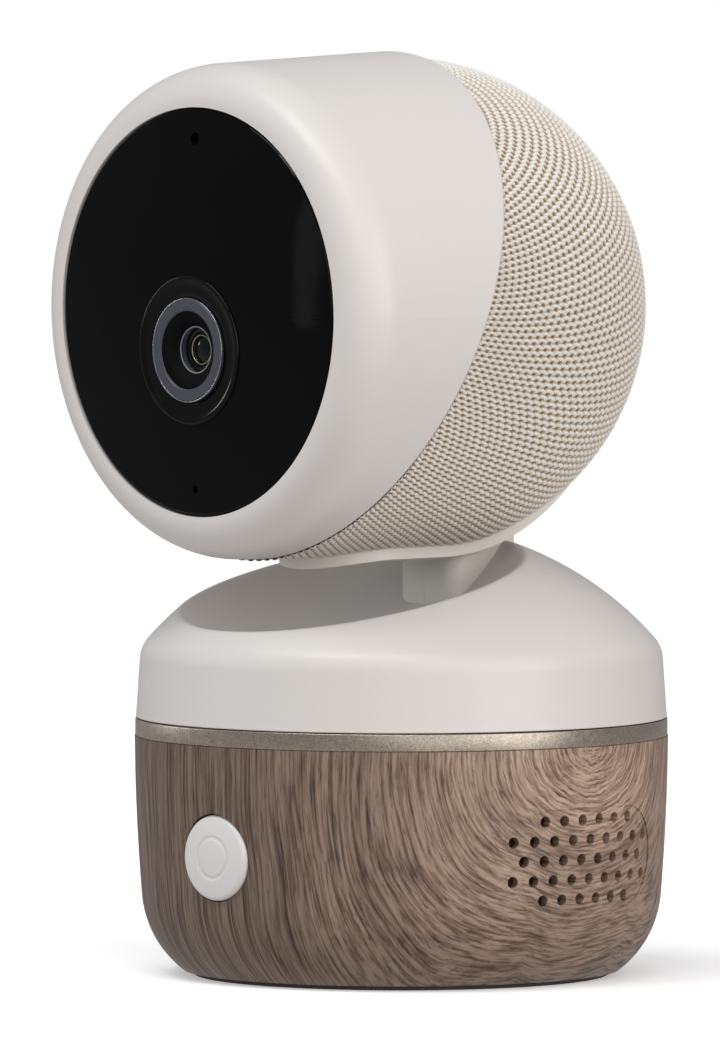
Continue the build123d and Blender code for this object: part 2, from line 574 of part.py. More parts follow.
def build_window():
    chamfer_w = 0.5
    front = cap_arc(WINDOW_R - chamfer_w, WINDOW_S, WINDOW_S + WINDOW_DOME)
    back = cap_arc(WINDOW_R - 1.6, WINDOW_S - 1.6, WINDOW_S + WINDOW_DOME - 1.6)
    skirt = Polyline((WINDOW_R - 1.6, 0, WINDOW_S - 1.6), (WINDOW_R - 1.6, 0, HOUSING_DECK_S + 2),
                     (WINDOW_R, 0, HOUSING_DECK_S + 2), (WINDOW_R, 0, WINDOW_S - chamfer_w),
                     (WINDOW_R - chamfer_w, 0, WINDOW_S))
    middle = Line((0, 0, WINDOW_S + WINDOW_DOME), (0, 0, WINDOW_S + WINDOW_DOME - 1.6))
    window = revolve(make_face([front, middle, back, skirt]), Axis.Z)
    window -= Pos(0, LENS_H, 0) * ring(8.7, 0, 30, 60)
    window -= Pos(0, SENSOR_H, 0) * ring(1.05, 0, 30, 60)
    window -= Pos(0, MIC_H, 0) * ring(0.65, 0, 30, 60)
    turning["window"] = NOSE * window


def build_lens():
    place = NOSE * Pos(0, LENS_H, 0)
    bezel = turned([(6.5, 44.2), (8.65, 44.2), (8.65, 47.0), (8.35, 47.25), (6.8, 47.25), (6.5, 47.0)])
    turning["lens_bezel"] = place * bezel
    turning["lens_barrel"] = place * (ring(6.45, 4.6, 33.0, 44.6) - ring(5.6, 0, 42.8, 45))
    retainer = turned([(3.85, 43.0), (5.55, 42.8), (5.55, 44.6), (4.9, 45.0), (3.85, 44.4)])
    turning["lens_retainer"] = place * retainer
    glass_edge = 3.85
    front = cap_arc(glass_edge, 43.9, 44.85)
    glass = revolve(make_face([front, Polyline((0, 0, 44.85), (0, 0, 43.0), (glass_edge, 0, 43.0),
                                               (glass_edge, 0, 43.9))]), Axis.Z)
    inner = ring(4.6, 0, 35.0, 36.6)
    turning["lens_glass"] = group([place * glass, place * inner])
    holder = Pos(0, 0, 27.6) * extrude(RectangleRounded(16, 16, 1.0), 8.4)
    holder -= ring(6.45, 0, 33.0, 40)
    holder -= ring(4.6, 0, 26, 34)
    turning["lens_holder"] = place * holder
    turning["image_sensor"] = place * Pos(0, 0, 27.6) * extrude(Rectangle(6.0, 6.0), 1.0)
    board = Pos(0, 0, 26.0) * extrude(RectangleRounded(30, 30, 1.5), 1.6)
    for x, y in CAMERA_SCREWS:
        board -= Pos(x, y, 0) * ring(1.2, 0, 20, 30)
    turning["camera_board"] = place * board
    turning["camera_screws"] = group(
        [place * Pos(x, y, 27.6) * screw(6.0, 1.0, 1.9, 1.2) for x, y in CAMERA_SCREWS])


def build_infrared():
    board = ring(31.6, 0, 40.0, 41.2) - Pos(0, LENS_H, 0) * ring(9.2, 0, 30, 60)
    turning["infrared_board"] = NOSE * board
    leds = [Pos(x, y, 41.2) * (extrude(RectangleRounded(3.4, 3.4, 0.6), 1.0) + ring(1.2, 0, 1.0, 1.5))
            for x, y in polar(22.5, range(15, 375, 60))]
    turning["infrared_leds"] = NOSE * group(leds)
    turning["light_sensor"] = NOSE * Pos(0, SENSOR_H, 41.2) * extrude(RectangleRounded(2.4, 2.4, 0.3), 0.8)
    turning["microphone"] = NOSE * Pos(0, MIC_H, 41.2) * extrude(RectangleRounded(3.0, 2.4, 0.3), 0.9)


def build_chassis():
    pinion_s = -6.0
    pinion_h = math.sqrt(TILT_CENTRES ** 2 - pinion_s ** 2)
    direction = math.degrees(math.atan2(pinion_h, pinion_s))
    bulkhead = ring(37.6, 0, 18.0, 20.0)
    bulkhead -= Pos(0, 12, 0) * ring(4.0, 0, 10, 30)
    for x, y in CHASSIS_SCREWS:
        bulkhead -= Pos(x, y, 0) * ring(SCREW_HOLE_R, 0, 10, 30)
    for x, y in CAMERA_SCREWS:
        bulkhead += Pos(x, y + LENS_H, 0) * ring(2.4, 1.05, 20.0, 26.0)
    # ear outlines: local X = nose axis, local Y = up
    side = Plane(origin=(0, 0, 0), x_dir=(0, 0, 1), z_dir=(-1, 0, 0)).location
    root = Pos(17.5, 0) * Rectangle(1.0, 22)
    right = make_hull(Circle(7.0).edges() + (Pos(pinion_s, pinion_h) * Circle(7.5)).edges() + root.edges())
    left = make_hull(Circle(7.0).edges() + root.edges())
    ears = side * Pos(0, 0, -14.5) * extrude(right, 2.5)
    ears += side * Pos(0, 0, 9.5) * extrude(left, 2.5)
    chassis = bulkhead + ears
    chassis -= Rot(0, 90, 0) * Cylinder(4.0, 80)
    chassis -= rod((10, pinion_h, pinion_s), (20, pinion_h, pinion_s), 2.2)
    turning["head_chassis"] = NOSE * chassis
    bush = Rot(0, 90, 0) * Cylinder(4.0, 2.5) - Rot(0, 90, 0) * Cylinder(AXLE_R + CLEAR, 10)
    turning["tilt_bushes"] = NOSE * group([Pos(13.25, 0, 0) * bush, Pos(-10.75, 0, 0) * bush])
    turning["chassis_screws"] = group(
        [NOSE * Pos(x, y, 18.0) * Rot(180, 0, 0) * screw(9.0) for x, y in CHASSIS_SCREWS])
    motor = rod((14.5, pinion_h, pinion_s), (28.0, pinion_h, pinion_s), 10.0)
    motor -= rod((14.0, pinion_h, pinion_s), (20.0, pinion_h, pinion_s), MOTOR_SHAFT_R + CLEAR)
    motor -= Rot(0, 90, 0) * Cylinder(4.6, 34)
    turning["tilt_motor"] = NOSE * motor
    # gears turn about the side axis; their tooth angle is counted from the nose axis towards up
    turn = Plane(origin=(0, 0, 0), x_dir=(0, 0, 1), z_dir=(-1, 0, 0)).location
    gear = spur_gear(TILT_GEAR_TEETH, TILT_MODULE, -11.3, -8.5, AXLE_R, 0.62, direction)
    gear += ring(5.0, AXLE_R, -8.5, -NECK_HALF_X)
    turning["tilt_gear"] = NOSE * turn * gear
    pinion = spur_gear(TILT_PINION_TEETH, TILT_MODULE, -11.5, -8.5, 1.0, 0.62,
                       direction + 180 + 180 / TILT_PINION_TEETH)
    pinion += ring(MOTOR_SHAFT_R, 0, -19.0, -8.5)
    turning["tilt_pinion"] = NOSE * turn * Pos(pinion_s, pinion_h, 0) * pinion


def build_rear():
    rear = nose_half(False, -0.1)
    hole = slot_solid(TRIM_HALF + 0.05)
    shell = nose_body(SHELL_R, 50) - nose_body(SHELL_IN_R, 60)
    turning["rear_shell"] = NOSE * ((shell & rear) - hole)
    fabric = nose_body(FABRIC_R, 50) - nose_body(FABRIC_R - FABRIC_T, 60)
    turning["fabric_cover"] = NOSE * ((fabric & rear) - hole)
    trim = (nose_body(TRIM_R, 50) - nose_body(SHELL_IN_R, 60)) & slot_solid(TRIM_HALF)
    trim -= slot_solid(SLOT_HALF)
    turning["slot_trim"] = NOSE * trim


build_base()
build_electronics()
build_speaker()
build_pan_motor()
build_button()
build_cover()
build_turntable_drive()
build_neck()
build_housing()
build_window()
build_lens()
build_infrared()
build_chassis()
build_rear()

os.makedirs("parts", exist_ok=True)
for name, shape in standing.items():
    export_step(shape, "parts/" + name + ".step")
for name, shape in turning.items():
    solids = [PAN_TURN * solid for solid in shape.solids()]
    export_step(solids[0] if len(solids) == 1 else Compound(solids), "parts/" + name + ".step")
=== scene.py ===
"""Looks of the pan and tilt camera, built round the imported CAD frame. Metres, Z up, nose towards -Y."""

import json
import math

import bmesh
import bpy
import numpy as np
from mathutils import Matrix, Quaternion, Vector


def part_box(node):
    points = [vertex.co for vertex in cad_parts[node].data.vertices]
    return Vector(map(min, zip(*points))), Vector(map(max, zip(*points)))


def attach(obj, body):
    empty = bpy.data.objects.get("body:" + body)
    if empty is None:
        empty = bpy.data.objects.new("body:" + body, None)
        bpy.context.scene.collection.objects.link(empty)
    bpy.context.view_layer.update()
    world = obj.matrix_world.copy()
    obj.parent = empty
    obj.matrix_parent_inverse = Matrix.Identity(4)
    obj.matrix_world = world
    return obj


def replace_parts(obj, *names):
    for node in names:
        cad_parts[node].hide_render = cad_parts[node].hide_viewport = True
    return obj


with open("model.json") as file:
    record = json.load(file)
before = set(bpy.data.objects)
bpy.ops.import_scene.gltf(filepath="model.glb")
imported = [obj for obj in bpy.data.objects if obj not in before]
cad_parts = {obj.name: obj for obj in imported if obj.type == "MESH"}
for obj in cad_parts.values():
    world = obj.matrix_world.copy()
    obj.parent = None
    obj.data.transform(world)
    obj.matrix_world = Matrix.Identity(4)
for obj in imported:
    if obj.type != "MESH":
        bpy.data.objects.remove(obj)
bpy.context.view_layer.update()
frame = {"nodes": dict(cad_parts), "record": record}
nodes = frame["nodes"]

MM = 0.001
FLOOR_HALF = 40.0                   # in metres

# ---------------------------------------------------------------- places, in millimetres
REST_PAN = math.radians(-3.25)      # the head rests turned by this about the vertical
PIVOT_Y = -0.943                    # tilt axis, and the ball's centre
PIVOT_Z = 112.83

COVER_FOOT_Z = 43.5                 # turning cover
COVER_FOOT_R = 44.787
COVER_LEAN = math.radians(3.83)
FOOT_ROUND = 0.2                    # rounding of its lower edge
BEND_R = 5.79                       # shoulder arc, between the side and the crown
CROWN_R = 57.11
COVER_APEX_Z = 76.0
COVER_WALL = 2.0
BOWL_R = 47.2
BOWL_Y = -19.7
BOWL_Z = 102.3
NO_BOWL_Z = 999.0                   # stands for the bowl's height where there is no bowl
BOWL_LIP = 1.1                      # how far the bowl's lip is rounded
BAND_INNER_R = 41.2                 # metal band under the cover
BAND_EDGE = 0.22

KNIT_R = 41.9                       # crest of the yarn on the ball
KNIT_DEPTH = 0.38
KNIT_REACH = 96.0                   # the cloth goes this far from its centre, along the form,
KNIT_ROUND = 3.0                    # and this far round the ball, in radians
STITCH_LONG = 2.99                  # knit cell, flat: holes at its corners and centre
STITCH_WIDE = 2.19
HOLE_HALF_LONG = 0.46               # half sizes of a hole, and how far it sits above its crossing
HOLE_HALF_WIDE = 0.70
HOLE_RISE = 0.16
KNIT_TURN = math.radians(2.0)
KNIT_POLE_YAW = math.radians(-5.5)  # where the flat cloth was centred: behind the head, a little low
KNIT_POLE_PITCH = math.radians(-14.1)
PARTING_S = 17.5                    # slanted front edge of the cloth: s = PARTING_S - slope * height
PARTING_SLOPE = 0.385
PARTING_SPARE = 0.6                 # vertices up to here past the edge are drawn back onto it
SLOT_HALF = 11.0                    # the cloth stops under the slot's trim
SLOT_TIP_S = 10.6
SLOT_REAR = math.radians(62.2)

LENS_H = -6.25                      # height of the lens axis from the nose axis
WINDOW_R = 34.04
WINDOW_RIM_S = 44.9
WINDOW_DOME = 2.0

BUTTON_R = 7.2
BUTTON_Z = 21.86
BUTTON_FACE_Y = -45.2
BUTTON_RIM = 0.9                    # rounding of the button's edge, and how far its face is domed
BUTTON_RISE = 0.5
BUTTON_FLANGE = 1.1                 # flange behind the shell that holds it in
FLANGE_THICK = 0.9

WOOD_R = 44.5                       # the printed film, unrolled, and the height of its rings' centre
WOOD_CENTRE_Z = 41.0

# ---------------------------------------------------------------- colours
PALE = (0.640, 0.612, 0.588)
YARN_WHITE = (0.97, 0.955, 0.93)
YARN_TAN = (0.63, 0.47, 0.28)
# painted shade: the dark brown put into the knit's holes
HOLE_SHADE_BROWN = (0.21, 0.128, 0.058)
WOOD_DARK = (0.060, 0.036, 0.026)
WOOD_MIDDLE = (0.160, 0.103, 0.074)
WOOD_LIGHT = (0.265, 0.190, 0.144)


# ---------------------------------------------------------------- shader helpers
class Shader:
    """One material and short ways to add nodes to it."""

    def __init__(self, name):
        self.material = bpy.data.materials.new(name)
        self.material.use_nodes = True
        self.tree = self.material.node_tree
        self.bsdf = self.tree.nodes["Principled BSDF"]

    def put(self, socket, value):
        if isinstance(value, bpy.types.NodeSocket):
            self.tree.links.new(value, socket)
        else:
            socket.default_value = value

    def node(self, kind, settings=None, **inputs):
        made = self.tree.nodes.new("ShaderNode" + kind)
        for key, value in (settings or {}).items():
            setattr(made, key, value)
        for key, value in inputs.items():
            self.put(made.inputs[key.replace("_", " ")], value)
        return made

    def surface(self, **inputs):
        for key, value in inputs.items():
            self.put(self.bsdf.inputs[key.replace("_", " ")], value)

    def maths(self, operation, a, b=None, c=None):
        made = self.tree.nodes.new("ShaderNodeMath")
        made.operation = operation
        for socket, value in zip(made.inputs, (a, b, c)):
            if value is not None:
                self.put(socket, value)
        return made.outputs[0]

    def place(self):
        return self.node("TexCoord").outputs["Object"]

    def attribute(self, name):
        return self.node("Attribute", {"attribute_name": name}).outputs["Fac"]

    def scaled(self, vector, scale):
        return self.node("Mapping", Vector=vector, Scale=scale).outputs[0]

    def noise(self, vector, scale, detail=3.0, rough=0.5, distortion=0.0):
        return self.node("TexNoise", Vector=vector, Scale=scale, Detail=detail, Roughness=rough,
                         Distortion=distortion).outputs["Fac"]

    def ramp(self, factor, *stops):
        made = self.node("ValToRGB", Fac=factor)
        points = made.color_ramp.elements
        while len(points) < len(stops):
            points.new(0.5)
        for point, (place, colour) in zip(points, stops):
            point.position = place
            point.color = (*colour, 1) if hasattr(colour, "__len__") else (colour, colour, colour, 1)
        return made.outputs["Color"]

    def span(self, value, low, high, to_low=0.0, to_high=1.0):
        return self.node("MapRange", Value=value, From_Min=low, From_Max=high, To_Min=to_low,
                         To_Max=to_high).outputs[0]

    def grey(self, value):
        return self.node("CombineColor", Red=value, Green=value, Blue=value).outputs[0]

    def blend(self, factor, a, b, mode="MIX"):
        made = self.node("Mix", {"data_type": "RGBA", "blend_type": mode})
        for index, value in ((0, factor), (6, a), (7, b)):
            if hasattr(value, "__len__") and len(value) == 3:
                value = (*value, 1)
            self.put(made.inputs[index], value)
        return made.outputs[2]

    def bump(self, height, distance, normal=None):
        made = self.node("Bump", Height=height, Distance=distance * MM, Strength=1.0)
        if normal is not None:
            self.put(made.inputs["Normal"], normal)
        return made.outputs["Normal"]


def tint(colour, factor):
    return tuple(min(1.0, c * factor) for c in colour)


# ---------------------------------------------------------------- materials
def moulded(name, colour, roughness, grain=0.25, grain_depth=0.012, mottle=0.03, **extra):
    """Moulded plastic: fine grain, a slow drift of tone and a little wear in the gloss."""
    s = Shader(name)
    at = s.place()
    drift = s.noise(at, 60.0, 2.0)
    speckle = s.noise(at, 1000.0 / grain, 2.0, 0.6)
    tone = s.blend(drift, tint(colour, 1 - mottle), tint(colour, 1 + mottle))
    fine = s.ramp(speckle, (0.3, 1 - mottle), (0.7, 1 + mottle))
    s.surface(Base_Color=s.blend(1.0, tone, fine, "MULTIPLY"))
    s.surface(Roughness=s.span(s.noise(at, 240.0, 4.0, 0.6), 0.3, 0.7, roughness - 0.05, roughness + 0.05))
    s.surface(Normal=s.bump(speckle, grain_depth))
    s.surface(**extra)
    return s.material


def wood_print():
    """Printed film: fine upright grain that turns into arched rings about a point by the grille."""
    s = Shader("wood_print")
    x, y, z = s.node("SeparateXYZ", Vector=s.place()).outputs
    across = s.maths("MULTIPLY", s.maths("ARCTAN2", y, x), WOOD_R * MM)      # zero at the grille, on +X
    up = s.maths("SUBTRACT", z, WOOD_CENTRE_Z * MM)
    sheet = s.node("CombineXYZ", X=across, Y=up, Z=0.0).outputs[0]
    # round rings at the grille, drawn out upward until the grain stands upright at the button
    far = s.maths("ABSOLUTE", across)
    squeezed = s.maths("MULTIPLY", up, s.span(far, 0.012, 0.062, 1.1, 0.42))
    radius = s.maths("SQRT", s.maths("ADD", s.maths("MULTIPLY", across, across),
                                     s.maths("MULTIPLY", squeezed, squeezed)))
    # slow waver everywhere, and a quick flutter close to the rings' centre
    waver = s.maths("MULTIPLY", s.maths("SUBTRACT", s.noise(sheet, 30.0, 1.0), 0.5), 0.005)
    flutter = s.maths("SUBTRACT", s.noise(s.scaled(sheet, (1.0, 0.8, 1.0)), 420.0, 2.0), 0.5)
    flutter = s.maths("MULTIPLY", flutter, s.span(radius, 0.006, 0.028, 0.0015, 0.00006))
    radius = s.maths("ADD", radius, s.maths("ADD", waver, flutter))
    turn = s.maths("ARCTAN2", squeezed, far)
    along = s.maths("MULTIPLY", turn, s.maths("MAXIMUM", radius, 0.012))
    drift = s.maths("MULTIPLY", across, 0.06)           # so that the two sides of the arch differ
    grain = s.node("CombineXYZ", X=radius, Y=s.maths("MULTIPLY", along, 0.05), Z=drift).outputs[0]
    bands = s.noise(grain, 105.0, 2.0, 0.5)
    lines = s.noise(grain, 1900.0, 3.0, 0.6)
    streaks = s.noise(s.scaled(grain, (1.0, 2.2, 1.0)), 2900.0, 3.0, 0.7)
    patch = s.noise(sheet, 42.0, 2.0, 0.5)
    base = s.ramp(lines, (0.30, WOOD_DARK), (0.44, WOOD_MIDDLE), (0.57, WOOD_LIGHT),
                  (0.8, tint(WOOD_LIGHT, 1.08)))
    base = s.blend(1.0, base, s.ramp(bands, (0.32, 0.80), (0.52, 1.0), (0.7, 1.08)), "MULTIPLY")
    base = s.blend(1.0, base, s.ramp(streaks, (0.34, 0.42), (0.47, 0.96), (0.75, 1.16)), "MULTIPLY")
    base = s.blend(1.0, base, s.ramp(patch, (0.28, 0.86), (0.7, 1.12)), "MULTIPLY")
    near = s.span(radius, 0.014, 0.056, 1.62, 0.74)     # paler towards the rings' centre
    s.surface(Base_Color=s.blend(1.0, base, s.grey(near), "MULTIPLY"))
    s.surface(Roughness=s.span(lines, 0.3, 0.7, 0.50, 0.40), Specular_IOR_Level=0.35)
    s.surface(Normal=s.bump(streaks, 0.012))
    return s.material


def metallic_paint(name, colour):
    """Satin paint with fine metal flakes, each of its own brightness."""
    s = Shader(name)
    at = s.place()
    flake = s.node("TexVoronoi", Vector=at, Scale=8500.0)
    glint = s.ramp(flake.outputs["Color"], (0.2, 0.72), (0.85, 1.45))
    s.surface(Base_Color=s.blend(1.0, colour, glint, "MULTIPLY"), Metallic=0.85)
    s.surface(Roughness=s.span(s.noise(at, 900.0, 3.0), 0.3, 0.7, 0.26, 0.38))
    s.surface(Normal=s.bump(flake.outputs["Distance"], 0.006))
    return s.material


def gloss_black(name, ior):
    """Black gloss with faint smears. A low ior keeps its mirror image dim."""
    s = Shader(name)
    at = s.place()
    tone = s.blend(s.noise(at, 90.0, 3.0), (0.0022, 0.0020, 0.0021), (0.0034, 0.0030, 0.0031))
    s.surface(Base_Color=tone)
    s.surface(Roughness=s.span(s.noise(at, 500.0, 4.0, 0.7), 0.35, 0.75, 0.035, 0.075))
    s.surface(IOR=ior)
    s.surface(Normal=s.bump(s.noise(at, 120.0, 1.0), 0.004))
    return s.material


def glass(name, colour, roughness):
    s = Shader(name)
    at = s.place()
    s.surface(Base_Color=s.blend(s.noise(at, 400.0, 2.0), colour, tint(colour, 0.9)))
    s.surface(Roughness=s.span(s.noise(at, 900.0, 3.0), 0.3, 0.7, roughness, roughness + 0.02))
    s.surface(IOR=1.5, Transmission_Weight=1.0)
    return s.material


def coated_glass():
    """Front of the lens: almost black, with a faint painted tint that stands for the coloured sheen of its
    coating.
    """
    s = Shader("lens_glass")
    at = s.place()
    # painted sheen: the coating's coloured reflection is given as a faint tint in the base colour
    s.surface(Base_Color=s.blend(s.noise(at, 700.0, 2.0), (0.002, 0.004, 0.004), (0.006, 0.007, 0.005)))
    s.surface(Roughness=s.span(s.noise(at, 900.0, 3.0), 0.3, 0.7, 0.02, 0.05))
    s.surface(IOR=1.32)
    return s.material


def metal(name, colour, roughness):
    """Bare metal with fine scratches along Z."""
    s = Shader(name)
    at = s.place()
    scratch = s.noise(s.scaled(at, (1.0, 1.0, 9.0)), 700.0, 4.0, 0.7)
    s.surface(Base_Color=s.blend(scratch, tint(colour, 0.85), tint(colour, 1.1)), Metallic=1.0)
    s.surface(Roughness=s.span(scratch, 0.3, 0.7, roughness - 0.08, roughness + 0.1))
    s.surface(Normal=s.bump(scratch, 0.01))
    return s.material


def circuit_board():
    s = Shader("board_green")
    at = s.place()
    tracks = s.node("TexVoronoi", {"distance": "CHEBYCHEV"}, Vector=at, Scale=700.0).outputs["Distance"]
    s.surface(Base_Color=s.ramp(tracks, (0.30, (0.015, 0.10, 0.045)), (0.36, (0.04, 0.2, 0.09))))
    s.surface(Roughness=s.span(s.noise(at, 600.0), 0.3, 0.7, 0.28, 0.38))
    s.surface(Normal=s.bump(tracks, 0.03))
    return s.material


def open_cloth(name, colour, pitch):
    """Coarse cloth or felted paper, its threads a pitch apart in millimetres."""
    s = Shader(name)
    at = s.place()
    weave = s.node("TexVoronoi", Vector=at, Scale=1000.0 / pitch).outputs["Distance"]
    s.surface(Base_Color=s.ramp(weave, (0.1, tint(colour, 0.4)), (0.6, tint(colour, 1.3))))
    s.surface(Roughness=0.9, Sheen_Weight=0.2)
    s.surface(Normal=s.bump(weave, 0.08))
    return s.material


def knit_yarn():
    """Two-colour knit, with painted shade in its holes. knit_u and knit_v count stitches, so whole numbers
    are crossings.
    """
    s = Shader("fabric")
    u, v = s.attribute("knit_u"), s.attribute("knit_v")
    at = s.place()
    both, apart = s.maths("ADD", u, v), s.maths("SUBTRACT", u, v)
    flat = s.node("CombineXYZ", X=both, Y=apart, Z=0.0).outputs[0]
    twist = s.noise(s.scaled(flat, (3.0, 6.0, 1.0)), 2.4, 3.0, 0.65)
    fuzz = s.noise(at, 3400.0, 3.0, 0.7)
    sway = s.maths("MULTIPLY", s.maths("SUBTRACT", twist, 0.5), 0.22)

    def offset(count):
        """Signed distance of a count from the nearest whole number."""
        return s.maths("SUBTRACT", count, s.maths("ROUND", count))

    def crease(count, width):
        """1 on the lines where count is whole, falling to 0 beside them."""
        off = s.maths("ABSOLUTE", offset(s.maths("ADD", count, sway)))
        return s.span(off, 0.3 * width, width, 1.0, 0.0)

    off_u, off_v = offset(u), offset(v)
    along = s.maths("MULTIPLY", s.maths("ADD", off_u, off_v), 0.5 * STITCH_LONG / HOLE_HALF_LONG)
    up = s.maths("MULTIPLY_ADD", s.maths("SUBTRACT", off_u, off_v), 0.5 * STITCH_WIDE / HOLE_HALF_WIDE,
                 -HOLE_RISE / HOLE_HALF_WIDE)
    reach = s.maths("SQRT", s.maths("ADD", s.maths("MULTIPLY", along, along), s.maths("MULTIPLY", up, up)))
    reach = s.maths("ADD", reach, s.maths("MULTIPLY", s.maths("SUBTRACT", fuzz, 0.5), 0.9))
    row_line = s.maths("MULTIPLY", crease(u, 0.17), 0.90)
    cross_line = s.maths("MULTIPLY", crease(v, 0.11), 0.70)
    yarn = s.blend(s.maths("MAXIMUM", row_line, cross_line), YARN_WHITE, YARN_TAN)
    yarn = s.blend(1.0, yarn, s.ramp(twist, (0.34, 0.84), (0.55, 1.14)), "MULTIPLY")
    yarn = s.blend(1.0, yarn, s.ramp(fuzz, (0.3, 0.82), (0.7, 1.12)), "MULTIPLY")
    rim = s.blend(s.span(reach, 0.75, 1.25, 1.0, 0.0), yarn, YARN_TAN)
    # painted shade: the holes are coloured dark brown, deepest at their centres
    s.surface(Base_Color=s.blend(s.span(reach, 0.35, 0.95, 1.0, 0.0), rim, HOLE_SHADE_BROWN))
    s.surface(Roughness=0.8, Sheen_Weight=0.15, Sheen_Roughness=0.5)
    s.surface(Normal=s.bump(s.maths("ADD", twist, s.maths("MULTIPLY", fuzz, 0.35)), 0.24))
    return s.material


MATERIALS = {
    "pale_plastic": moulded("pale_plastic", PALE, 0.36, 0.25, 0.010, 0.012),
    "greige_plastic": moulded("greige_plastic", (0.74, 0.70, 0.645), 0.45, 0.25, 0.010, 0.015),
    "button_plastic": moulded("button_plastic", (0.66, 0.645, 0.63), 0.38, 0.25, 0.008, 0.01),
    "black_plastic": moulded("black_plastic", (0.018, 0.018, 0.019), 0.5, 0.3, 0.02, 0.1),
    "dark_satin": moulded("dark_satin", (0.047, 0.051, 0.066), 0.36, 0.2, 0.01, 0.05),
    "white_plastic": moulded("white_plastic", (0.75, 0.75, 0.73), 0.4),
    "acetal": moulded("acetal", (0.78, 0.76, 0.70), 0.35),
    "rubber": moulded("rubber", (0.03, 0.03, 0.03), 0.75, 0.4, 0.03, 0.1),
    "foam": moulded("foam", (0.04, 0.04, 0.04), 0.95, 0.5, 0.12, 0.2),
    "chip_black": moulded("chip_black", (0.02, 0.02, 0.022), 0.55),
    "silicon": moulded("silicon", (0.03, 0.035, 0.07), 0.12, 0.1, 0.002, 0.05),
    "cable": moulded("cable", (0.03, 0.03, 0.03), 0.6, 0.6, 0.08, 0.15),
    "wood_print": wood_print(),
    "champagne_metal": metallic_paint("champagne_metal", (0.350, 0.306, 0.254)),
    "black_gloss": gloss_black("black_gloss", 1.17),
    "collar_gloss": gloss_black("collar_gloss", 1.24),
    "lens_glass": coated_glass(),
    "baffle_black": moulded("baffle_black", (0.003, 0.003, 0.003), 0.8, 0.3, 0.02, 0.2,
                            Specular_IOR_Level=0.12),
    "rim_satin": moulded("rim_satin", (0.20, 0.20, 0.25), 0.3, 0.15, 0.004, 0.04),
    "edge_gloss": metal("edge_gloss", (0.30, 0.30, 0.33), 0.16),
    "spacer_brass": metal("spacer_brass", (0.62, 0.52, 0.33), 0.2),
    "led_clear": glass("led_clear", (0.9, 0.88, 0.8), 0.05),
    "steel": metal("steel", (0.56, 0.56, 0.57), 0.32),
    "magnet": metal("magnet", (0.6, 0.6, 0.6), 0.25),
    "board_green": circuit_board(),
    "speaker_cloth": open_cloth("speaker_cloth", (0.14, 0.06, 0.045), 0.25),
    "paper_cone": open_cloth("paper_cone", (0.05, 0.05, 0.05), 0.4),
    "fabric": knit_yarn(),
}


# ---------------------------------------------------------------- mesh helpers
def dress(obj, slot_name):
    """Gives an object the material of its slot and no other."""
    obj.data.materials.clear()
    obj.data.materials.append(MATERIALS[slot_name])


def mesh_object(name, vertices, faces, slot_name):
    """A smooth mesh from vertices in millimetres and faces that all have as many corners."""
    data = bpy.data.meshes.new(name)
    points = np.asarray(vertices, float) * MM
    data.vertices.add(len(points))
    data.vertices.foreach_set("co", points.astype(np.float32).ravel())
    faces = np.asarray(faces, int)
    corners = faces.shape[1]
    data.loops.add(faces.size)
    data.loops.foreach_set("vertex_index", faces.ravel())
    data.polygons.add(len(faces))
    data.polygons.foreach_set("loop_start", np.arange(0, faces.size, corners))
    data.polygons.foreach_set("loop_total", np.full(len(faces), corners))
    data.update(calc_edges=True)
    data.validate()
    data.polygons.foreach_set("use_smooth", np.ones(len(data.polygons), bool))
    obj = bpy.data.objects.new(name, data)
    bpy.context.scene.collection.objects.link(obj)
    dress(obj, slot_name)
    return obj


def ring_quads(rings, count, closed=False):
    """Corner numbers of the quads between rings of count vertices each, and the rings' vertex numbers."""
    index = np.arange(rings * count).reshape(rings, count)
    if closed:
        index = np.concatenate([index, index[:1]])
    turned = np.roll(index, -1, 1)
    return np.stack([index[:-1], turned[:-1], turned[1:], index[1:]], -1).reshape(-1, 4), index


def cap(obj, faces):
    """Adds faces to a mesh, given as lists of vertex numbers, and turns all its faces outward."""
    bm = bmesh.new()
    bm.from_mesh(obj.data)
    bm.verts.ensure_lookup_table()
    for corners in faces:
        bm.faces.new([bm.verts[int(i)] for i in corners])
    bmesh.ops.recalc_face_normals(bm, faces=bm.faces)
    for face in bm.faces:
        face.smooth = True
    bm.to_mesh(obj.data)
    bm.free()


def arc(centre, radius, start, end, count):
    """Points on a circle arc, in radius and height."""
    return [(centre[0] + radius * math.cos(t), centre[1] + radius * math.sin(t))
            for t in np.linspace(start, end, count)]


def turned_to_rest(points):
    """Points of the head or the cover, nose towards -Y, turned to where they rest."""
    c, s = math.cos(REST_PAN), math.sin(REST_PAN)
    x, y, z = points.T
    return np.stack([c * x - s * y, s * x + c * y, z], 1)


# ---------------------------------------------------------------- turning cover
def smooth_least(a, b, width):
    """The lesser of a and b, with the corner between them rounded."""
    share = np.clip(0.5 + 0.5 * (b - a) / width, 0, 1)
    return b * (1 - share) + a * share - width * share * (1 - share)


